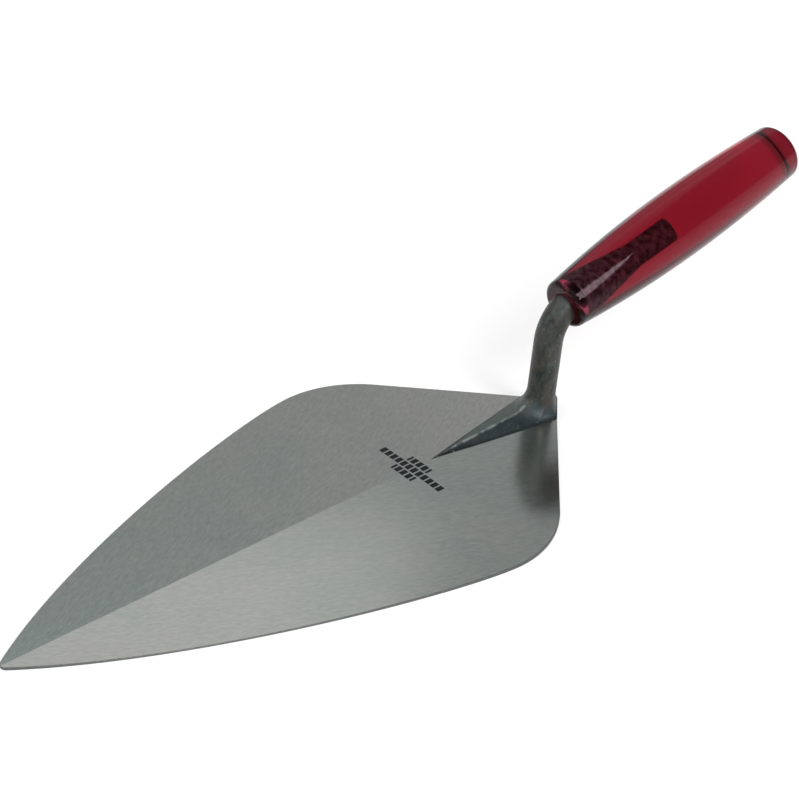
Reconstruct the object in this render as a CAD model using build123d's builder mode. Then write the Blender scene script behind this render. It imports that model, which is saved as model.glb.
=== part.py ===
"""Brick trowel: a diamond-heeled blade, a forged shank, and a clear plastic handle on its tang.

Millimetres. The origin is on the blade's flat underside, below the neck's centreline.
+X runs along the blade to its toe, +Y to the left, +Z up. The handle rises to the rear.
"""

from build123d import *
from math import cos, exp, radians, sin, sqrt, tan
import os

# Blade outline, measured from the corner where the two straight heel edges would meet.
blade_length = 279.4
blade_width = 139.7
neck_setback = 10.7  # from that corner forward to the neck's centreline
heel_half_angle = 45.0  # each heel edge to the centreline
heel_radius = 4.0
shoulder_station = 90.0  # the corner to the widest place
shoulder_radius = 48.8
shoulder_pull = 22.3  # how long the side edge stays parallel past the shoulder
toe_pull = 71.6  # how long the side edge stays straight before the toe
toe_half_angle = 34.0
toe_radius = 2.4

# Blade section: a flat underside and two faces that fall away from a ridge, more so near the toe.
heel_thickness = 2.8
toe_thickness = 1.5
heel_fall = 0.35  # drop from the ridge, over half the blade's width
toe_fall = 2.8

# Neck and tang.
neck_radius = 6.1
neck_flare = 1.1  # how much wider the neck is at its root
neck_flare_height = 9.0
bend_radius = 17.0
handle_rise = 14.5  # degrees above the blade
axis_height = 49.35  # where the handle's axis crosses the neck's
tang_radius = 2.9
tang_taper_end = 40.0  # from the handle's front face
tang_length = 57.0  # from the handle's front face
tang_tip_break = 0.8

# Foot that spreads the shank over the blade.
foot_width = 20.6  # at the neck's centreline
foot_length = 63.0  # from the neck's centreline to the tip
foot_heel = 3.0  # how far it runs behind the neck's centreline
foot_lip = 0.6
foot_ridge = 2.8  # height of the ridge over the blade, at the neck's centreline
foot_flare = 14.0  # how much more it rises inside the neck
foot_flare_run = 6.5  # the distance over which that dies away to about a third
foot_tip_width = 0.8
foot_tip_height = 0.15
foot_steps = 7
foot_crowding = 1.6  # 1 spaces the sections evenly, more draws them towards the neck

# Handle, turned about its own axis.
handle_length = 136.2
handle_gap = 6.6  # from where the axes cross to the front face
front_wall = 2.35  # of plastic below the neck, at the front face
belly_radius = 15.05
belly_station = 74.0
butt_radius = 12.7
front_round = 2.2
butt_round = 2.4
socket_clearance = 0.2  # round the neck, in the handle's mouth
cement_gap = 0.5  # round the tang, in the bore
cement_plug = 4.7  # past the tang's tip

# Places that follow from the sizes above.
heel_x = -neck_setback
toe_x = heel_x + blade_length
shoulder_x = heel_x + shoulder_station
half_width = blade_width / 2
heel_angle = radians(heel_half_angle)
toe_angle = radians(toe_half_angle)
rise = radians(handle_rise)
bend_tangent = bend_radius * tan((radians(90) - rise) / 2)
bend_end = bend_tangent - handle_gap  # inside the handle, from its front face
bore_depth = tang_length + cement_plug
mouth_underside = sqrt((bend_radius - neck_radius - socket_clearance) ** 2 - bend_end**2)
front_radius = bend_radius - mouth_underside + front_wall
past = 2.0  # how far cutting and overlapping solids run on

# The handle's axis runs from where it crosses the neck's centreline, to the rear and up.
axis_plane = Plane(origin=(0, 0, axis_height), x_dir=(-cos(rise), 0, sin(rise)), z_dir=(0, 1, 0))
handle_plane = Plane(
    origin=axis_plane.from_local_coords((handle_gap, 0, 0)),
    x_dir=axis_plane.x_dir,
    z_dir=axis_plane.z_dir,
)
handle_axis = Axis(handle_plane.origin, handle_plane.x_dir)


def thickness_at(x):
    """The ridge's height above the underside, x along the blade."""
    return heel_thickness + (toe_thickness - heel_thickness) * (x - heel_x) / blade_length


def fall_at(x, y):
    """How far the upper face lies below the ridge, y out from it."""
    return (heel_fall + (toe_fall - heel_fall) * (x - heel_x) / blade_length) * y / half_width


def roof_section(x):
    """A cross-section of everything under the blade's two upper faces."""
    reach = half_width + past
    edge = thickness_at(x) - fall_at(x, reach)
    with BuildSketch(Plane.YZ.offset(x)) as section:
        Polygon(
            (-reach, -past),
            (reach, -past),
            (reach, edge),
            (0, thickness_at(x)),
            (-reach, edge),
            align=None,
        )
    return section.sketch


# What lies under the two upper faces, wider and longer than the blade.
with BuildPart() as under_faces:
    add(roof_section(heel_x - past))
    add(roof_section(toe_x + past))
    loft(ruled=True)

# Blade: one half of the outline is drawn from heel to toe, then mirrored.
heel_centre = heel_x + heel_radius / sin(heel_angle)
heel_tangent = (heel_centre - heel_radius * sin(heel_angle), heel_radius * cos(heel_angle))
heel_end = (heel_centre - heel_radius, 0)
shoulder_start = (
    shoulder_x - shoulder_radius * sin(heel_angle),
    half_width - shoulder_radius * (1 - cos(heel_angle)),
)
shoulder_top = (shoulder_x, half_width)
toe_centre = toe_x - toe_radius
toe_tangent = (toe_centre + toe_radius * sin(toe_angle), toe_radius * cos(toe_angle))

with BuildPart() as blade:
    with BuildSketch() as plan:
        with BuildLine():
            RadiusArc(heel_end, heel_tangent, heel_radius)
            Line(heel_tangent, shoulder_start)
            RadiusArc(shoulder_start, shoulder_top, shoulder_radius)
            Bezier(
                shoulder_top,
                (shoulder_top[0] + shoulder_pull, shoulder_top[1]),
                (toe_tangent[0] - toe_pull * cos(toe_angle), toe_tangent[1] + toe_pull * sin(toe_angle)),
                toe_tangent,
            )
            RadiusArc(toe_tangent, (toe_x, 0), toe_radius)
            Line((toe_x, 0), heel_end)
        make_face()
        mirror(about=Plane.XZ)
    extrude(amount=heel_thickness + past)
    add(under_faces.part, mode=Mode.INTERSECT)


def foot_section(x):
    """The foot's cross-section: a ridge over two lips, lower and narrower towards the tip."""
    share = 1 - x / foot_length
    half = (foot_tip_width + (foot_width - foot_tip_width) * share) / 2
    flare = foot_flare * exp(-max(x, 0) / foot_flare_run)
    height = foot_tip_height + foot_ridge * share + flare - foot_flare * exp(-foot_length / foot_flare_run)
    top = thickness_at(x)
    floor = top - fall_at(x, half) - past
    lip = top + min(foot_lip, height / 2)
    with BuildSketch(Plane.YZ.offset(x)) as section:
        Polygon(
            (-half, floor),
            (half, floor),
            (half, lip),
            (0, top + height),
            (-half, lip),
            align=None,
        )
    return section.sketch


# Foot: sections closer together where the ridge curves up to the neck, trimmed to the blade's heel.
with BuildPart() as foot:
    add(foot_section(-foot_heel))
    for step in range(foot_steps + 1):
        add(foot_section(foot_length * (step / foot_steps) ** foot_crowding))
    loft(ruled=True)
    with BuildSketch():
        add(plan.sketch)
    extrude(amount=axis_height, mode=Mode.INTERSECT)

# Shank: the neck and its bend as one sweep, then its flared root, the tang and the foot.
root_z = thickness_at(0) - fall_at(0, neck_radius + neck_flare)
with BuildPart() as shank:
    with BuildLine(Plane.XZ):
        upright = Line((0, root_z), (0, axis_height - bend_tangent))
        JernArc(upright @ 1, upright % 1, bend_radius, 90 - handle_rise)
    with BuildSketch(Plane.XY.offset(root_z)):
        Circle(neck_radius)
    sweep()
    with BuildSketch(handle_plane):
        with BuildLine():
            Polyline(
                (bend_end, 0),
                (bend_end, neck_radius),
                (tang_taper_end, tang_radius),
                (tang_length - tang_tip_break, tang_radius),
                (tang_length, tang_radius - tang_tip_break),
                (tang_length, 0),
                close=True,
            )
        make_face()
    revolve(axis=handle_axis)
    with Locations((0, 0, root_z)):
        Cone(
            neck_radius + neck_flare,
            neck_radius,
            neck_flare_height,
            align=(Align.CENTER, Align.CENTER, Align.MIN),
        )
    add(foot.part)
    add(under_faces.part, mode=Mode.SUBTRACT)

# The handle's mouth: the bent stretch of the neck with room round it.
with BuildPart() as mouth:
    with BuildLine(Plane.XZ):
        JernArc((0, axis_height - bend_tangent), (0, 1), bend_radius, 90 - handle_rise)
    with BuildSketch(Plane.XY.offset(axis_height - bend_tangent)):
        Circle(neck_radius + socket_clearance)
    sweep()

# The bore: the tang's own shape, larger by the cement's thickness, and deeper by the plug.
with BuildPart() as bore:
    with BuildSketch(handle_plane):
        with BuildLine():
            Polyline(
                (bend_end, 0),
                (bend_end, neck_radius + cement_gap),
                (tang_taper_end, tang_radius + cement_gap),
                (bore_depth, tang_radius + cement_gap),
                (bore_depth, 0),
                close=True,
            )
        make_face()
    revolve(axis=handle_axis)

# Handle: two long arcs meet at the belly.
front_shoulder = (front_round, front_radius)
butt_shoulder = (handle_length - butt_round, butt_radius)
with BuildPart() as handle:
    with BuildSketch(handle_plane):
        with BuildLine():
            Line((0, 0), (0, front_radius - front_round))
            RadiusArc((0, front_radius - front_round), front_shoulder, front_round)
            TangentArc((belly_station, belly_radius), front_shoulder, tangent=(-1, 0))
            TangentArc((belly_station, belly_radius), butt_shoulder, tangent=(1, 0))
            RadiusArc(butt_shoulder, (handle_length, butt_radius - butt_round), butt_round)
            Line((handle_length, butt_radius - butt_round), (handle_length, 0))
            Line((handle_length, 0), (0, 0))
        make_face()
    revolve(axis=handle_axis)
    add(mouth.part, mode=Mode.SUBTRACT)
    add(bore.part, mode=Mode.SUBTRACT)

# The set cement: all of the bore that the tang leaves.
with BuildPart() as tang_cement:
    add(bore.part)
    add(shank.part, mode=Mode.SUBTRACT)

pieces = {"blade": blade, "shank": shank, "handle": handle, "tang_cement": tang_cement}
os.makedirs("parts", exist_ok=True)
for name, piece in pieces.items():
    piece.part.label = name
    export_step(piece.part, f"parts/{name}.step")
    print(name, piece.part.volume, len(piece.part.solids()))
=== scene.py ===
"""Brick trowel: ground steel blade, forged shank, and a clear red handle cemented on its tang.

Metres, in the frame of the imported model: the origin is on the blade's underside below the neck,
+X runs to the toe and +Z is up. Sizes are given in millimetres times MM.
"""

import math

import bmesh
import bpy
import numpy as np
from mathutils import Matrix, Vector


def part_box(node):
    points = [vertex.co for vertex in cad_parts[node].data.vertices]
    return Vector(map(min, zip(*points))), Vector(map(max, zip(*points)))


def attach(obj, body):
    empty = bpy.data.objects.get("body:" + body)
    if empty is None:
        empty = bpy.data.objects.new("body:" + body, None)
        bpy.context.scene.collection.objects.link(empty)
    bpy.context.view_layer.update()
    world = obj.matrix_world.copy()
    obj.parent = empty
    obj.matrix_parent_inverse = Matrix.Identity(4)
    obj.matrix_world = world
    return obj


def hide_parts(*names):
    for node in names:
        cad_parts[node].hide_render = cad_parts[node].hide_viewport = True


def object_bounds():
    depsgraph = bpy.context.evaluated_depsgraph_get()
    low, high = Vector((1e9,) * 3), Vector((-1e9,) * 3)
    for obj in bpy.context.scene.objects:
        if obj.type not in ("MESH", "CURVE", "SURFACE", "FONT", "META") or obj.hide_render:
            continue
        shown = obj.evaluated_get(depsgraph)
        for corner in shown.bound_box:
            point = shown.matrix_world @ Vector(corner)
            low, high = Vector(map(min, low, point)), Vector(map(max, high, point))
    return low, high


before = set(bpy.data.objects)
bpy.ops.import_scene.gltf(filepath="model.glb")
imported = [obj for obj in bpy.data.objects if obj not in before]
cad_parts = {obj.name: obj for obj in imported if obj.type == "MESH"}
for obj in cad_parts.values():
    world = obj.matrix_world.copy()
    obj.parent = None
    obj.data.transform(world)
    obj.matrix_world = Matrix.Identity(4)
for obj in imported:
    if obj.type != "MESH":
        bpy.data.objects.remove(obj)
cad_low, cad_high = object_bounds()

MM = 0.001
blade_low, blade_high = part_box("blade")

# Blade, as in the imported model.
heel_point = blade_low.x
toe_point = blade_high.x
half_width = blade_high.y
blade_length = 279.4 * MM  # to the corner where the straight heel edges would meet
heel_corner = toe_point - blade_length
heel_half_angle = math.radians(45)
heel_radius = 4.0 * MM
shoulder_station = 90.0 * MM
shoulder_radius = 48.8 * MM
shoulder_pull = 22.3 * MM
toe_pull = 71.6 * MM
toe_half_angle = math.radians(34)
toe_radius = 2.4 * MM
heel_thickness = 2.8 * MM
toe_thickness = 1.5 * MM
heel_fall = 0.35 * MM  # drop from the ridge, over half the blade's width
toe_fall = 2.8 * MM
eased_edge = 0.25 * MM
spine_share = 0.97  # the ridge line's points are the outline's, drawn in towards the middle by this

# Neck, tang and handle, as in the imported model.
neck_radius = 6.1 * MM
bend_radius = 17.0 * MM
rise = math.radians(14.5)
axis_height = 49.35 * MM
handle_gap = 6.6 * MM
tang_radius = 2.9 * MM
tang_taper_end = 40.0 * MM
tang_length = 57.0 * MM
tang_tip_break = 0.8 * MM
cement_gap = 0.5 * MM
cement_plug = 4.7 * MM
socket_clearance = 0.2 * MM
bend_tangent = bend_radius * math.tan((math.pi / 2 - rise) / 2)
bend_start = axis_height - bend_tangent
bend_end = bend_tangent - handle_gap
bore_depth = tang_length + cement_plug

handle_length = 136.2 * MM
front_radius = 10.9 * MM
belly_radius = 15.05 * MM
belly_station = 74.0 * MM
butt_radius = 12.7 * MM
front_round = 2.2 * MM
butt_round = 2.4 * MM
mouth_round = 0.15 * MM
cement_slack = 0.03 * MM  # keeps the cement's skin off the bore's and the tang's
butt_face = (handle_gap + handle_length + axis_height * math.sin(rise)) / MM  # along the handle's axis

# Foot.
foot_width = 20.6 * MM
foot_length = 63.0 * MM
foot_lip = 0.6 * MM
foot_ridge = 2.8 * MM
foot_tip_height = 0.15 * MM
foot_tip_half = 0.2 * MM  # the least half width that the facets are drawn for
foot_edge_round = 0.15 * MM
foot_crowding = 0.8  # 1 spaces the side's columns evenly, less draws them towards the neck
foot_corner_turn = math.radians(88)  # the turn round the neck that leads to the foot's widest corner
fillet_reach = 9.0 * MM  # from the neck's wall forward, where the foot leaves room
fillet_height = 9.0 * MM

corner_turns = np.radians((0, 30, 60, 90))  # the steps round every small rounded corner
touching = 1e-7  # metres, closer than this is the same place

# Colours, as red, green, blue and 1. A pair is the two ends of a mottle.
# The cool steel is also the darker one, painted shade, and the warm steel the lighter one, painted light;
# their cool and warm tints are the steel's own.
cool_shaded_steel = (0.415, 0.475, 0.452, 1), (0.515, 0.580, 0.555, 1)
warm_lit_steel = (0.500, 0.510, 0.490, 1), (0.615, 0.622, 0.598, 1)
etched_black = (0.035, 0.04, 0.045, 1)
wall_steel = (0.07, 0.075, 0.075, 1), (0.14, 0.145, 0.145, 1)
forge_scale = (0.011, 0.015, 0.015, 1), (0.058, 0.066, 0.060, 1)
scale_brown = (0.062, 0.045, 0.032, 1)
# Painted light and shade on the foot's facets, partly the scale's own tint: the -Y facet lit, the +Y facet
# shaded.
lit_facet_tint = (0.095, 0.125, 0.118, 1)
shaded_facet_tint = (0.022, 0.039, 0.049, 1)
# Painted highlight along the foot's ridge.
ridge_highlight_steel = (0.30, 0.34, 0.33, 1)
# Painted shadow where the foot meets the blade, partly a dark joint.
joint_shadow_line = (0.006, 0.008, 0.009, 1)
rubbed_steel = (0.34, 0.36, 0.36, 1)
plastic_red = (0.325, 0.110, 0.185, 1)
# A painted reflection, brown, near the butt's end.
butt_reflection_brown = (0.095, 0.080, 0.070, 1)
plastic_gloss = (0.30, 0.22, 0.25, 1)
plastic_depth = (0.85, 0.08, 0.20, 1)
cement_mottle = (0.040, 0.110, 0.080, 1), (0.230, 0.620, 0.460, 1)
paper = (0.40, 0.40, 0.40, 1), (0.42, 0.42, 0.42, 1)
white = (1.0, 1.0, 1.0, 1)

# Grinding marks and the blade's drift from cool to warm, partly a real tone and partly painted light and
# shade, in millimetres.
mark_lean = math.radians(25)  # the marks to the blade's length, on each side
mark_stretch = 0.35  # along the marks, so that they are about three times as long as wide
side_shift = 400  # keeps one side's marks from mirroring the other's
drift_centre = 110.0  # where both sides are equally warm and equally lit
drift_run = 260  # over which a side goes from all cool and shaded to all warm and lit

# Bricks of the etched mark, in millimetres.
mark_station = 74.0
brick_pitch, brick_length, brick_height, course_pitch = 3.0, 2.3, 3.6, 4.4
courses = ((-1, 6), (0, 18), (1, 6))  # which course, and how far it reaches from the ridge
positive = 100  # whole bricks, to keep a number above 0 before its fraction is taken

# The blade's ridge under the foot, in millimetres: its height at the neck, and how it sinks.
ridge_at_neck = 2.75
ridge_slope = 0.0047

# Floor.
floor_rings = np.array([0.3, 1.0, 3.0, 12.0])  # metres
floor_sides = 96
floor_gap = 0.05 * MM
paper_glow = 0.58

# Patches of light in the sky: the turn from +X towards +Y and the height over the horizon, in
# degrees, how soft the edges are, and how bright the patch is.
rear_turn, rear_height, rear_soft, rear_level = (-152.0, -58.0), (18.0, 48.0), (6.0, 6.0), 0.185
window_turn, window_height, window_soft, window_level = (-137.4, -58.0), (38.9, 70.0), (0.8, 0.8), 0.36
fill_turn, fill_height, fill_soft, fill_level = (-62.0, 62.0), (15.0, 78.0), (10.0, 8.0), 1.5
horizon_height, horizon_soft, horizon_level = (-10.0, 10.0), 6.0, 0.8
surround_level = 0.19

# The key is a panel of a flat ceiling one unit up: its edges there, and how much it is skewed.
key_x, key_y, key_soft, key_level = (-0.215, 0.40), (0.58, 1.9), 0.01, 10.5
key_skew = 0.12
least_up = 0.01  # keeps level directions from dividing by nothing

# The rear patch is not even: it dims round to the right and upwards.
dim_turn, dim_soft, dim_from, dim_by_turn = (-152.0, -112.0), 8.0, 130.0, 0.004
dim_above, dim_by_height = 36.0, 0.015


# ---------------------------------------------------------------- meshes


def surface(name, points, quads, caps=()):
    """An object from points and quads, with fans of (pole, ring) for caps; turned to face outwards.

    The faces point outwards if the sum over triangles of a . (b x c) is positive.
    """
    faces = np.asarray(quads, dtype=np.int64)
    tris = [np.stack([np.full(len(ring), pole), ring, np.roll(ring, -1)], axis=1) for pole, ring in caps]
    fans = np.concatenate(tris) if tris else np.zeros((0, 3), dtype=np.int64)
    split = np.concatenate([faces[:, [0, 1, 2]], faces[:, [0, 2, 3]], fans])
    a, b, c = (points[split[:, k]] for k in range(3))
    if np.einsum("ij,ij->", a, np.cross(b, c)) < 0:
        faces, fans = faces[:, ::-1], fans[:, ::-1]
    mesh = bpy.data.meshes.new(name)
    mesh.from_pydata(points.tolist(), [], faces.tolist() + fans.tolist())
    mesh.validate()
    made = bpy.data.objects.new(name, mesh)
    bpy.context.collection.objects.link(made)
    mesh.polygons.foreach_set("use_smooth", np.ones(len(mesh.polygons), dtype=bool))
    return made


def ring_quads(rows, columns):
    """Quads between neighbouring rows of a grid whose columns go all the way round."""
    i, j = np.meshgrid(np.arange(rows - 1), np.arange(columns), indexing="ij")
    i, j = i.ravel(), j.ravel()
    k = (j + 1) % columns
    return np.stack([i * columns + j, i * columns + k, (i + 1) * columns + k, (i + 1) * columns + j], axis=1)


def closed_tube(name, grid, start, end):
    """A surface over grid[row, column, xyz] with a pole at each end, start and end."""
    rows, columns, _ = grid.shape
    points = np.concatenate([grid.reshape(-1, 3), [start], [end]])
    first = np.arange(columns)
    last = (rows - 1) * columns + first
    caps = ((rows * columns, first[::-1]), (rows * columns + 1, last))
    return surface(name, points, ring_quads(rows, columns), caps)


def crisp(made, angle):
    """Edges sharper than the angle in degrees are shaded as creases."""
    made.data.set_sharp_from_angle(angle=math.radians(angle))


def arc(centre, radius, start, end, count):
    """Points on a circle, from the start angle to the end angle, in radians."""
    t = np.linspace(start, end, count)
    return np.stack([centre[0] + radius * np.cos(t), centre[1] + radius * np.sin(t)], axis=1)


def ridge_height(x):
    """The ridge's height over the underside: a straight line from heel to toe."""
    return heel_thickness + (toe_thickness - heel_thickness) * (x - heel_corner) / blade_length


def blade_top(x, y):
    """Height of the blade's upper faces: the ridge, less a fall in proportion to the distance from it.

    The fall grows in a straight line from heel to toe, so each face is slightly twisted.
    """
    fall = heel_fall + (toe_fall - heel_fall) * (x - heel_corner) / blade_length
    return ridge_height(x) - fall * np.abs(y) / half_width


def half_outline():
    """One side of the blade from heel to toe.

    It is an arc, a straight line, the shoulder's arc, one cubic curve and the toe's arc.
    """
    s, c = math.sin(heel_half_angle), math.cos(heel_half_angle)
    heel = arc((heel_corner + heel_radius / s, 0), heel_radius, math.pi, math.pi - heel_half_angle, 9)
    shoulder_x = heel_corner + shoulder_station
    centre = (shoulder_x, half_width - shoulder_radius)
    shoulder = arc(centre, shoulder_radius, math.pi / 2 + heel_half_angle, math.pi / 2, 28)
    straight = heel[-1] + (shoulder[0] - heel[-1]) * np.linspace(0, 1, 16)[:, None]
    s, c = math.sin(toe_half_angle), math.cos(toe_half_angle)
    toe_centre = (toe_point - toe_radius, 0)
    toe = arc(toe_centre, toe_radius, math.pi / 2 - toe_half_angle, 0, 10)
    ahead_of_shoulder = shoulder[-1] + (shoulder_pull, 0)
    behind_toe = toe[0] + (-toe_pull * c, toe_pull * s)
    t = np.linspace(0, 1, 90)[:, None]
    side = (
        (1 - t) ** 3 * shoulder[-1]
        + 3 * (1 - t) ** 2 * t * ahead_of_shoulder
        + 3 * (1 - t) * t**2 * behind_toe
        + t**3 * toe[0]
    )
    return np.concatenate([heel, straight[1:], shoulder[1:], side[1:], toe[1:]])


def make_blade():
    """Rows run from the ridge out to the edge, round it, and back under to the middle.

    Each column runs from its point on the outline straight in to a point on the ridge line, which
    is the outline's x drawn in towards the blade's middle.
    """
    half = half_outline()
    mirrored = half[-2:0:-1] * (1, -1)
    outline = np.concatenate([half, mirrored])
    middle = (heel_point + toe_point) / 2
    spine = np.stack([middle + (outline[:, 0] - middle) * spine_share, np.zeros(len(outline))], axis=1)
    ahead = np.roll(outline, -1, axis=0) - np.roll(outline, 1, axis=0)
    inward = np.stack([ahead[:, 1], -ahead[:, 0]], axis=1) / np.linalg.norm(ahead, axis=1)[:, None]
    ease = outline + inward * eased_edge
    support = 0.008  # a row close to the edge keeps the faces' shading flat
    rows = []
    for t in (*np.linspace(1, 0, 9)[:-1], support, 0):
        flat = ease + (spine - ease) * t
        rows.append(np.column_stack([flat, blade_top(*flat.T)]))
    wall_starts = len(rows)
    top = blade_top(*outline.T)
    for turn in corner_turns[1:]:
        flat = outline + inward * eased_edge * (1 - math.sin(turn))
        rows.append(np.column_stack([flat, top - eased_edge * (1 - math.cos(turn))]))
    for turn in corner_turns:
        flat = outline + inward * eased_edge * (1 - math.cos(turn))
        rows.append(np.column_stack([flat, np.full(len(flat), eased_edge * (1 - math.sin(turn)))]))
    wall_ends = len(rows) - 1
    for t in (0.5, 1):
        flat = ease + (spine - ease) * t
        rows.append(np.column_stack([flat, np.zeros(len(flat))]))
    grid = np.array(rows)
    bands = np.repeat(np.arange(len(rows) - 1), len(outline))
    made = surface("ground_blade", grid.reshape(-1, 3), ring_quads(*grid.shape[:2]))
    wall = (bands >= wall_starts) & (bands < wall_ends)
    made.data.polygons.foreach_set("material_index", wall.astype(np.int32))
    weld(made)
    crisp(made, 40)
    crease_ridge(made)
    return made


def crease_ridge(made):
    """The edges along the blade's ridge are creases too, however flat it is there."""
    mesh = made.data
    places = np.zeros(len(mesh.vertices) * 3)
    mesh.vertices.foreach_get("co", places)
    places = places.reshape(-1, 3)
    ends = np.zeros(len(mesh.edges) * 2, dtype=np.int64)
    mesh.edges.foreach_get("vertices", ends)
    on_ridge = (np.abs(places[:, 1]) < touching) & (places[:, 2] > toe_thickness / 2)
    sharp = np.zeros(len(mesh.edges), dtype=bool)
    mesh.edges.foreach_get("use_edge_sharp", sharp)
    sharp |= on_ridge[ends.reshape(-1, 2)].all(axis=1)
    mesh.edges.foreach_set("use_edge_sharp", sharp)


def weld(made):
    """Joins vertices that share a place, so that the two sides meet in one closed skin."""
    work = bmesh.new()
    work.from_mesh(made.data)
    bmesh.ops.remove_doubles(work, verts=work.verts, dist=touching)
    bmesh.ops.recalc_face_normals(work, faces=work.faces)
    work.to_mesh(made.data)
    work.free()


def rail_point(s, r, turn):
    """Points round the handle's axis.

    s runs along the axis from the front face, r outwards from it, and turn round it from the top.
    """
    along = np.array([-math.cos(rise), 0, math.sin(rise)])
    up = np.array([math.sin(rise), 0, math.cos(rise)])
    front = np.array([0, 0, axis_height]) + along * handle_gap
    s, r, turn = np.broadcast_arrays(s, r, turn)
    out = up * (r * np.cos(turn))[..., None] + np.array([0, 1, 0]) * (r * np.sin(turn))[..., None]
    return front + along * s[..., None] + out


def in_bend(s, r, turn):
    """Like rail_point, for a tube of radius r whose centreline is still bending before bend_end.

    The tube is cut square to the handle's axis, so a ring is the section of a torus there.
    """
    s, r, turn = np.broadcast_arrays(s, r, turn)
    short = np.maximum(bend_end - s, 0)
    up = np.sqrt((bend_radius + r * np.cos(turn)) ** 2 - short**2) - bend_radius
    across = r * np.sin(turn)
    return rail_point(s, np.hypot(up, across), np.arctan2(across, up))


def handle_profile():
    """(s, r) pairs from the butt's centre round the outside to the front face.

    Each long arc passes through its shoulder and is level at the belly.
    """
    butt_face = [(handle_length, r) for r in np.linspace(0.15, 0.95, 8) * (butt_radius - butt_round)]
    butt = arc((handle_length - butt_round, butt_radius - butt_round), butt_round, 0, math.pi / 2, 16)
    places = np.linspace(handle_length - butt_round, front_round, 120)[1:-1]
    ends = np.where(places > belly_station, handle_length - butt_round, front_round)
    drops = belly_radius - np.where(places > belly_station, butt_radius, front_radius)
    reach = ends - belly_station
    big = (reach**2 + drops**2) / (2 * drops)
    side = belly_radius - big + np.sqrt(big**2 - (places - belly_station) ** 2)
    front = arc((front_round, front_radius - front_round), front_round, math.pi / 2, math.pi, 12)
    return np.concatenate([butt_face, butt, np.column_stack([places, side]), front])


def make_handle():
    """The turned outside, the front face, then the mouth and the bore back to its blind end."""
    columns = 128
    turn = np.linspace(0, 2 * math.pi, columns, endpoint=False)
    outside = handle_profile()
    rows = [rail_point(s, r, turn) for s, r in outside]
    mouth_radius = neck_radius + socket_clearance
    lip = in_bend(0, mouth_radius + mouth_round, turn)
    rim = rows[-1]
    rows += [rim + (lip - rim) * t for t in (0.35, 0.7, 1)]
    for a in corner_turns[1:]:
        radius = mouth_radius + mouth_round * (1 - math.sin(a))
        rows.append(in_bend(mouth_round * (1 - math.cos(a)), radius, turn))
    stations = np.linspace(mouth_round, bend_end, 12)[1:]
    rows += [in_bend(s, mouth_radius, turn) for s in stations]
    bore_starts = len(rows) - 1
    wide = neck_radius + cement_gap
    narrow = tang_radius + cement_gap
    stations = np.linspace(bend_end, bore_depth, 60)
    radii = np.interp(stations, [bend_end, tang_taper_end], [wide, narrow])
    rows += [rail_point(s, r, turn) for s, r in zip(stations, radii)]
    rows += [rail_point(bore_depth, narrow * t, turn) for t in (0.9, 0.5)]
    start = rail_point(handle_length, 0, 0)
    end = rail_point(bore_depth, 0, 0)
    made = closed_tube("clear_handle", np.array(rows), start, end)
    crisp(made, 35)
    quads = (len(rows) - 1) * columns
    slots = np.zeros(len(made.data.polygons), dtype=np.int32)
    slots[bore_starts * columns : quads] = 1
    slots[quads + columns :] = 1
    made.data.polygons.foreach_set("material_index", slots)
    return made


def half_foot(x):
    """Half the foot's width: a straight taper from the neck's centreline to the tip."""
    return (foot_width / 2) * (1 - x / foot_length)


def facet(x, y):
    """The foot's height over the blade.

    The ridge sinks in a straight line to the tip, and each facet falls straight from it to the lip.
    """
    share = 1 - np.clip(x, None, foot_length) / foot_length
    ridge = foot_tip_height + foot_ridge * share
    lip = np.minimum(foot_lip, ridge / 2)
    half = np.maximum(foot_width / 2 * share, foot_tip_half)
    return ridge + (lip - ridge) * np.clip(np.abs(y) / half, 0, 1)


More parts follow.
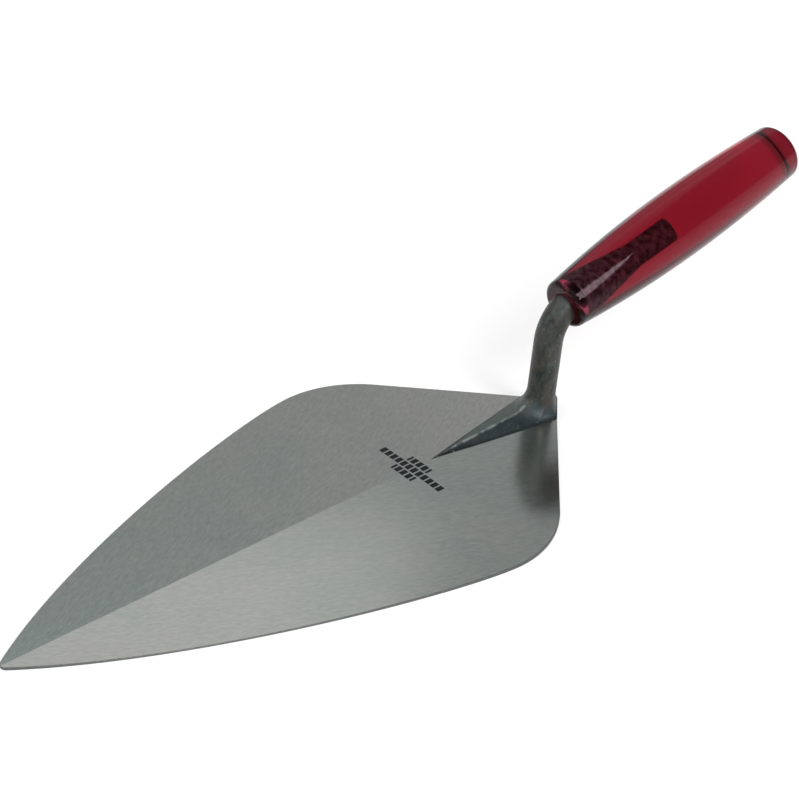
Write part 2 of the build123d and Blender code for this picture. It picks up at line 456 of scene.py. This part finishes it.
def make_shank():
    """Tang, bend, neck, fillet, foot and the foot's underside, as rings from tip to base."""
    side_columns, heel_columns, round_columns = 44, 12, 6
    corner_x = (foot_width / 2 + heel_corner) / (1 + foot_width / 2 / foot_length)
    corner = np.array([corner_x, half_foot(corner_x)])
    crowd = np.linspace(0, 1, side_columns + 1)[:-1] ** foot_crowding
    side = np.array([foot_length, 0]) + (corner - (foot_length, 0)) * crowd[:, None]
    heel_centre = (heel_corner + heel_radius / math.sin(heel_half_angle), 0)
    heel = arc(heel_centre, heel_radius, math.pi - heel_half_angle, math.pi, round_columns + 1)
    rear = corner + (heel[0] - corner) * np.linspace(0, 1, heel_columns + 1)[:-1, None]
    half = np.concatenate([side, rear, heel])
    foot_outline = np.concatenate([half, half[-2:0:-1] * (1, -1)])
    angles = np.concatenate(
        [
            np.linspace(0, foot_corner_turn, side_columns + 1)[:-1],
            np.linspace(foot_corner_turn, math.pi, heel_columns + round_columns + 1),
        ]
    )
    turn = np.concatenate([angles, -angles[-2:0:-1]])
    neck = np.stack([neck_radius * np.cos(turn), neck_radius * np.sin(turn)], axis=1)
    rows = []
    for share in (0.5, 1):
        rows.append(rail_point(tang_length, (tang_radius - tang_tip_break) * share, turn))
    rows.append(rail_point(tang_length - tang_tip_break, tang_radius, turn))
    for s in np.linspace(tang_length - tang_tip_break, bend_end, 40)[1:]:
        r = np.interp(s, [bend_end, tang_taper_end], [neck_radius, tang_radius])
        rows.append(rail_point(s, r, turn))
    for a in np.linspace(math.pi / 2 - rise, 0, 24)[1:]:
        centre = np.array([-bend_radius * (1 - math.cos(a)), 0, bend_start + bend_radius * math.sin(a)])
        out = np.array([math.cos(a), 0, math.sin(a)])
        rows.append(centre + np.outer(neck[:, 0], out) + np.outer(neck[:, 1], (0, 1, 0)))
    run = foot_outline - neck
    length = np.linalg.norm(run, axis=1)
    reach = np.minimum(fillet_reach, length)
    along = run / length[:, None]

    def on_foot(distance):
        """The foot's skin, this far out from the neck's wall. The fillet there is a quarter ellipse."""
        flat = neck + along * distance[:, None]
        x, y = flat.T
        inside = np.clip((reach - distance) / reach, 0, 1)
        rise_here = fillet_height * (1 - np.sqrt(1 - inside**2))
        return np.column_stack([flat, blade_top(x, y) + facet(x, y) + rise_here])

    top_ring = on_foot(np.zeros(len(turn)))
    for t in np.linspace(0, 1, 16)[1:-1]:
        z = bend_start + (top_ring[:, 2] - bend_start) * t
        rows.append(np.column_stack([neck, z]))
    for a in np.linspace(0, math.pi / 2, 18):
        rows.append(on_foot(reach * (1 - math.cos(a))))
    for t in np.linspace(0, 1, 24)[1:]:
        rows.append(on_foot(reach + (length - foot_edge_round - reach) * t))
    outer = on_foot(length)
    outer[:, 2] -= foot_edge_round
    rows.append(outer)
    base = np.column_stack([foot_outline, blade_top(*foot_outline.T)])
    rows.append(base)
    start = rail_point(tang_length, 0, 0)
    end = np.array([0, 0, ridge_height(0)])
    made = closed_tube("forged_shank", np.array(rows), start, end)
    crisp(made, 20)
    return made


def make_cement():
    """The set compound: outside to the bore, inside to the tang, closed past the tang's tip."""
    turn = np.linspace(0, 2 * math.pi, 64, endpoint=False)
    stations = np.linspace(bend_end, bore_depth - cement_slack, 40)
    wide, narrow = neck_radius + cement_gap - cement_slack, tang_radius + cement_gap - cement_slack
    outer = np.interp(stations, [bend_end, tang_taper_end], [wide, narrow])
    rows = [rail_point(s, r, turn) for s, r in zip(stations[::-1], outer[::-1])]
    stations = np.linspace(bend_end, tang_length + cement_slack, 30)
    wide, narrow = neck_radius + cement_slack, tang_radius + cement_slack
    inner = np.interp(stations, [bend_end, tang_taper_end], [wide, narrow])
    rows += [rail_point(s, r, turn) for s, r in zip(stations, inner)]
    start = rail_point(bore_depth - cement_slack, 0, 0)
    end = rail_point(tang_length + cement_slack, 0, 0)
    made = closed_tube("set_cement", np.array(rows), start, end)
    crisp(made, 35)
    return made


# ---------------------------------------------------------------- finishes


class Field:
    """A number that varies over a surface. Arithmetic on it adds Math nodes."""

    def __init__(self, tree, socket):
        self.tree = tree
        self.socket = socket

    def maths(self, operation, *values):
        """One Math node on these numbers and fields."""
        return node(self.tree, "Math", {"operation": operation}, dict(enumerate(values)))

    def __add__(self, other):
        return self.maths("ADD", self, other)

    def __sub__(self, other):
        return self.maths("SUBTRACT", self, other)

    def __rsub__(self, other):
        return self.maths("SUBTRACT", other, self)

    def __mul__(self, other):
        return self.maths("MULTIPLY", self, other)

    def __truediv__(self, other):
        return self.maths("DIVIDE", self, other)

    def __abs__(self):
        return self.maths("ABSOLUTE", self)

    def __lt__(self, other):
        return self.maths("LESS_THAN", self, other)

    def __gt__(self, other):
        return self.maths("GREATER_THAN", self, other)

    def wrapped(self):
        """The fraction left over after whole numbers are taken off."""
        return self.maths("FRACT", self)

    __radd__ = __add__
    __rmul__ = __mul__


def node(tree, kind, settings=None, sockets=None, output=0):
    """Adds one node: its settings first, then values or links for its sockets; gives back one output."""
    made = tree.nodes.new("ShaderNode" + kind)
    for key, value in (settings or {}).items():
        setattr(made, key, value)
    for key, value in (sockets or {}).items():
        if isinstance(value, Field):
            tree.links.new(value.socket, made.inputs[key])
        else:
            made.inputs[key].default_value = value
    return Field(tree, made.outputs[output])


def new_finish(name):
    """An empty material."""
    made = bpy.data.materials.new(name)
    made.use_nodes = True
    made.node_tree.nodes.clear()
    return made, made.node_tree


def place_of(tree):
    """Object coordinates in millimetres."""
    where = node(tree, "TexCoord", output="Object")
    return node(tree, "VectorMath", {"operation": "SCALE"}, {0: where, "Scale": 1 / MM})


def noise(tree, vector, scale, detail=2.0, rough=0.5):
    """A noise between 0 and 1 with features about 1 / scale millimetres across."""
    sockets = {"Vector": vector, "Scale": scale, "Detail": detail, "Roughness": rough}
    return node(tree, "TexNoise", sockets=sockets)


def ramp(tree, value, start, end, first, last):
    """A number that goes from first to last while the value goes from start to end, and then stays."""
    return node(tree, "MapRange", sockets={0: value, 1: start, 2: end, 3: first, 4: last})


def blend(tree, share, first, second):
    """A colour between two."""
    sockets = {"Factor": share, 6: first, 7: second}
    return node(tree, "Mix", {"data_type": "RGBA"}, sockets, output=2)


def axes_of(tree, vector):
    """The x, y and z of a vector."""
    parts = node(tree, "SeparateXYZ", sockets={0: vector})
    outputs = parts.socket.node.outputs
    return [Field(tree, outputs[k]) for k in range(3)]


def finish_with(tree, surface_shader, volume=None):
    """Joins a shader, and a volume if there is one, to the material's output."""
    sockets = {"Surface": surface_shader}
    if volume:
        sockets["Volume"] = volume
    made = tree.nodes.new("ShaderNodeOutputMaterial")
    for key, value in sockets.items():
        tree.links.new(value.socket, made.inputs[key])


def ground_steel():
    """Satin steel with short grinding marks that run along each side's edge, an etched mark, and a drift
    from cool to warm that is partly a real tone and partly painted light and shade.
    """
    made, tree = new_finish("ground_steel")
    x, y, z = axes_of(tree, place_of(tree))
    along = x * math.cos(mark_lean) - abs(y) * math.sin(mark_lean)
    across = x * math.sin(mark_lean) + abs(y) * math.cos(mark_lean)
    side = y > 0
    marks = node(tree, "CombineXYZ", sockets={0: along * mark_stretch + side * side_shift, 1: across, 2: z})
    fine = noise(tree, marks, 0.85, 4, 0.62)
    broad = noise(tree, node(tree, "CombineXYZ", sockets={0: x, 1: y, 2: z}), 0.03, 3)
    # Painted light and shade, partly a real cool and warm tone: one side is lighter towards the toe and
    # darker towards the heel, the other side the other way round.
    tone_and_light_drift = (x - drift_centre) * (side * 2 - 1) / drift_run + 0.5 + (broad - 0.5) * 1.6
    warm_and_lit = ramp(tree, tone_and_light_drift, 0.0, 1.0, 0.0, 1.0)
    grain = ramp(tree, fine, 0.28, 0.72, 0.0, 1.0)
    colour = blend(tree, warm_and_lit, blend(tree, grain, *cool_shaded_steel), blend(tree, grain, *warm_lit_steel))
    upper_side = z > 1.0
    mark = etched_mark(x, y) * upper_side
    colour = blend(tree, mark, colour, etched_black)
    heel = ramp(tree, x, 10.0, 62.0, 0.1, 0.0)
    rough = 0.115 + fine * 0.06 + heel + mark * 0.3
    bump = node(tree, "Bump", sockets={"Strength": 0.05, "Distance": 0.1 * MM, "Height": fine})
    shader = node(
        tree,
        "BsdfPrincipled",
        sockets={"Base Color": colour, "Metallic": 1.0, "Roughness": rough, "Normal": bump},
    )
    finish_with(tree, shader)
    return made


def dark_edge_wall():
    """The blade's narrow wall: duller and darker than its faces."""
    made, tree = new_finish("dark_edge_wall")
    streak = noise(tree, place_of(tree), 0.8, 3)
    # The wall's colour is much darker than the faces' steel.
    sockets = {"Base Color": blend(tree, streak, *wall_steel), "Metallic": 0.6, "Roughness": 0.45}
    finish_with(tree, node(tree, "BsdfPrincipled", sockets=sockets))
    return made


def etched_mark(x, y):
    """Three courses of little bricks across the ridge, the middle one long: 1 on a brick, 0 off it."""
    total = None
    for row, reach in courses:
        height = abs(x - (mark_station + row * course_pitch)) < brick_height / 2
        shift = brick_pitch / 2 if row else 0
        place = ((y + shift) / brick_pitch + positive).wrapped()
        within = abs(place - 0.5) < brick_length / brick_pitch / 2
        band = height * within * (abs(y) < reach)
        total = band if total is None else total + band
    return total


def forged_steel():
    """Dark scale from the forge, with brown tints and rubbed specks.

    The foot's two facets differ in painted light and shade as well as in tint, its ridge carries a painted
    highlight, and a painted shadow, partly a dark joint, runs round its base.
    """
    made, tree = new_finish("forged_steel")
    place = place_of(tree)
    x, y, z = axes_of(tree, place)
    drawn = node(tree, "CombineXYZ", sockets={0: x, 1: y, 2: z * 0.45})
    broad = noise(tree, drawn, 0.3, 4, 0.65)
    fine = noise(tree, place, 0.9, 4, 0.6)
    brown = noise(tree, drawn, 0.22, 3)
    colour = blend(tree, ramp(tree, broad, 0.3, 0.7, 0.0, 1.0), *forge_scale)
    colour = blend(tree, ramp(tree, brown, 0.45, 0.65, 0.0, 0.55), colour, scale_brown)
    foot = ramp(tree, z, 6.5, 10.0, 1.0, 0.0)
    # Painted light on the foot's -Y facet and painted shade on its +Y facet, partly the scale's own tint.
    colour = blend(tree, foot * (y < 0) * (fine * 0.8 + 0.2), colour, lit_facet_tint)
    colour = blend(tree, foot * (y > 0) * 0.5, colour, shaded_facet_tint)
    # Painted highlight along the foot's ridge, broken up into patches.
    ridge_highlight = ramp(tree, abs(y + 0.3), 0.2, 1.1, 1.0, 0.0)
    patchy = ramp(tree, broad, 0.4, 0.62, 0.1, 0.8)
    colour = blend(tree, foot * ridge_highlight * patchy, colour, ridge_highlight_steel)
    # Painted shadow, partly a dark joint, in a thin band just above the blade where the foot meets it.
    above_blade = z + x * ridge_slope - ridge_at_neck
    colour = blend(tree, ramp(tree, above_blade, 0.35, 0.75, 0.85, 0.0), colour, joint_shadow_line)
    colour = blend(tree, ramp(tree, fine, 0.66, 0.73, 0.0, 0.8), colour, rubbed_steel)
    rough = 0.32 + fine * 0.2
    relief = fine + broad * 2
    bump = node(tree, "Bump", sockets={"Strength": 0.4, "Distance": 0.25 * MM, "Height": relief})
    shader = node(
        tree,
        "BsdfPrincipled",
        sockets={
            "Base Color": colour,
            "Metallic": 0.4,
            "Specular IOR Level": 0.3,
            "Roughness": rough,
            "Normal": bump,
        },
    )
    finish_with(tree, shader)
    return made


def clear_red():
    """Polished clear plastic: the red comes from a tint and from its depth, and the butt is duller, with a
    painted reflection in brown.
    """
    made, tree = new_finish("clear_red_plastic")
    place = place_of(tree)
    smear = noise(tree, place, 0.08, 3)
    x, y, z = axes_of(tree, place)
    along = z * math.sin(rise) - x * math.cos(rise)
    # Painted reflection: brown over the last few millimetres before the butt face, which is also rougher
    # there.
    butt = ramp(tree, along, butt_face - 3.5, butt_face - 1.5, 0.0, 1.0)
    colour = blend(tree, butt, plastic_red, butt_reflection_brown)
    rough = 0.015 + smear * 0.03 + butt * 0.25
    shader = node(
        tree,
        "BsdfPrincipled",
        sockets={
            "Base Color": colour,
            "Roughness": rough,
            "IOR": 1.48,
            "Specular Tint": plastic_gloss,
            "Transmission Weight": 1.0,
        },
    )
    volume = node(tree, "VolumeAbsorption", sockets={"Color": plastic_depth, "Density": 100.0})
    finish_with(tree, shader, volume)
    return made


def scorched_cement(name):
    """Dark mottled compound."""
    made, tree = new_finish(name)
    place = place_of(tree)
    blotch = noise(tree, place, 0.38, 3, 0.6)
    colour = blend(tree, ramp(tree, blotch, 0.38, 0.64, 0.0, 1.0), *cement_mottle)
    shader = node(
        tree,
        "BsdfPrincipled",
        sockets={"Base Color": colour, "Metallic": 0.0, "Roughness": 0.5 + blotch * 0.2},
    )
    finish_with(tree, shader)
    return made


# ---------------------------------------------------------------- the object


def finish_piece(made, node_name, slot, *materials):
    """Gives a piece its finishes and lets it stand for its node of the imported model."""
    for material in materials:
        made.data.materials.append(material)
    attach(made, "root")
    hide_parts(node_name)


finish_piece(make_blade(), "blade", "ground_steel", ground_steel(), dark_edge_wall())
finish_piece(make_shank(), "shank", "forged_steel", forged_steel())
finish_piece(make_handle(), "handle", "red_plastic", clear_red(), scorched_cement("scorched_bore"))
finish_piece(make_cement(), "tang_cement", "tang_cement", scorched_cement("tang_cement"))


# ---------------------------------------------------------------- studio


def make_floor():
    """A pale round floor just under the blade, lit a little from below like a light table."""
    turn = np.linspace(0, 2 * math.pi, floor_sides, endpoint=False)
    rounds = [np.outer(floor_rings, wave) for wave in (np.cos(turn), np.sin(turn), 0 * turn)]
    points = np.concatenate([np.stack(rounds, axis=2).reshape(-1, 3), [(0, 0, 0)]])
    points[:, 2] = cad_low.z - floor_gap
    quads = ring_quads(len(floor_rings), floor_sides)[:, ::-1]
    mesh = bpy.data.meshes.new("floor")
    inner = np.arange(floor_sides)
    fan = np.stack([np.full(floor_sides, len(points) - 1), inner, np.roll(inner, -1)], axis=1)
    mesh.from_pydata(points.tolist(), [], quads.tolist() + fan.tolist())
    made = bpy.data.objects.new("floor", mesh)
    bpy.context.collection.objects.link(made)
    paint, tree = new_finish("floor_paper")
    grain = noise(tree, place_of(tree), 0.4, 2)
    sockets = {
        "Base Color": blend(tree, grain, *paper),
        "Roughness": 0.9,
        "Specular IOR Level": 0.0,
        "Emission Color": white,
        "Emission Strength": paper_glow,
    }
    finish_with(tree, node(tree, "BsdfPrincipled", sockets=sockets))
    mesh.materials.append(paint)


def make_sky():
    """Light by direction only, as if every lamp were far away.

    A window and a dimmer patch below it lie to the right, the key high to the left, the fill ahead.
    """
    world = bpy.data.worlds.new("studio")
    bpy.context.scene.world = world
    world.use_nodes = True
    tree = world.node_tree
    tree.nodes.clear()
    x, y, z = axes_of(tree, node(tree, "TexCoord", output="Generated"))
    turn = y.maths("ARCTAN2", y, x) * (180 / math.pi)
    height = z.maths("ARCSINE", z) * (180 / math.pi)

    def within(value, low, high, soft):
        """1 between two numbers and 0 outside them, with edges this soft."""
        rising = ramp(tree, value, low - soft / 2, low + soft / 2, 0.0, 1.0)
        falling = ramp(tree, value, high - soft / 2, high + soft / 2, 1.0, 0.0)
        return rising * falling

    def patch(turns, heights, softs):
        """1 on a patch of the sky and 0 off it."""
        return within(turn, *turns, softs[0]) * within(height, *heights, softs[1])

    up = z.maths("MAXIMUM", z, least_up)
    ceiling_x, ceiling_y = x / up, y / up
    key = within(ceiling_x + ceiling_y * key_skew, *key_x, key_soft) * within(ceiling_y, *key_y, key_soft)
    dim_right = within(turn, *dim_turn, dim_soft) * (turn + dim_from) * dim_by_turn
    slope = 1.0 - dim_right - (height - dim_above) * dim_by_height
    rear = patch(rear_turn, rear_height, rear_soft) * slope
    window = patch(window_turn, window_height, window_soft)
    fill = patch(fill_turn, fill_height, fill_soft)
    horizon = within(height, *horizon_height, horizon_soft)
    light = (
        surround_level
        + key * key_level
        + rear * rear_level
        + window * window_level
        + fill * fill_level
        + horizon * horizon_level
    )
    shader = node(tree, "Background", sockets={"Color": white, "Strength": light})
    made = tree.nodes.new("ShaderNodeOutputWorld")
    tree.links.new(shader.socket, made.inputs["Surface"])


def make_camera():
    """Looks down at the blade from its front left, turned a little about the line of sight."""
    azimuth, elevation, roll = (math.radians(a) for a in (134.55, 33.67, 5.39))
    distance = 0.792
    aim = Vector((84.6, 0, 40.2)) * MM
    back = Vector(
        (
            math.sin(azimuth) * math.cos(elevation),
            -math.cos(azimuth) * math.cos(elevation),
            math.sin(elevation),
        )
    )
    camera = bpy.data.cameras.new("camera")
    camera.sensor_width = 36
    camera.lens = 91.47
    camera.clip_start = 0.01
    made = bpy.data.objects.new("camera", camera)
    turned = (-back).to_track_quat("-Z", "Y").to_matrix() @ Matrix.Rotation(roll, 3, "Z")
    made.matrix_world = Matrix.Translation(aim + back * distance) @ turned.to_4x4()
    bpy.context.collection.objects.link(made)
    bpy.context.scene.camera = made


make_floor()
make_sky()
make_camera()
bpy.context.scene.view_settings.view_transform = "Standard"
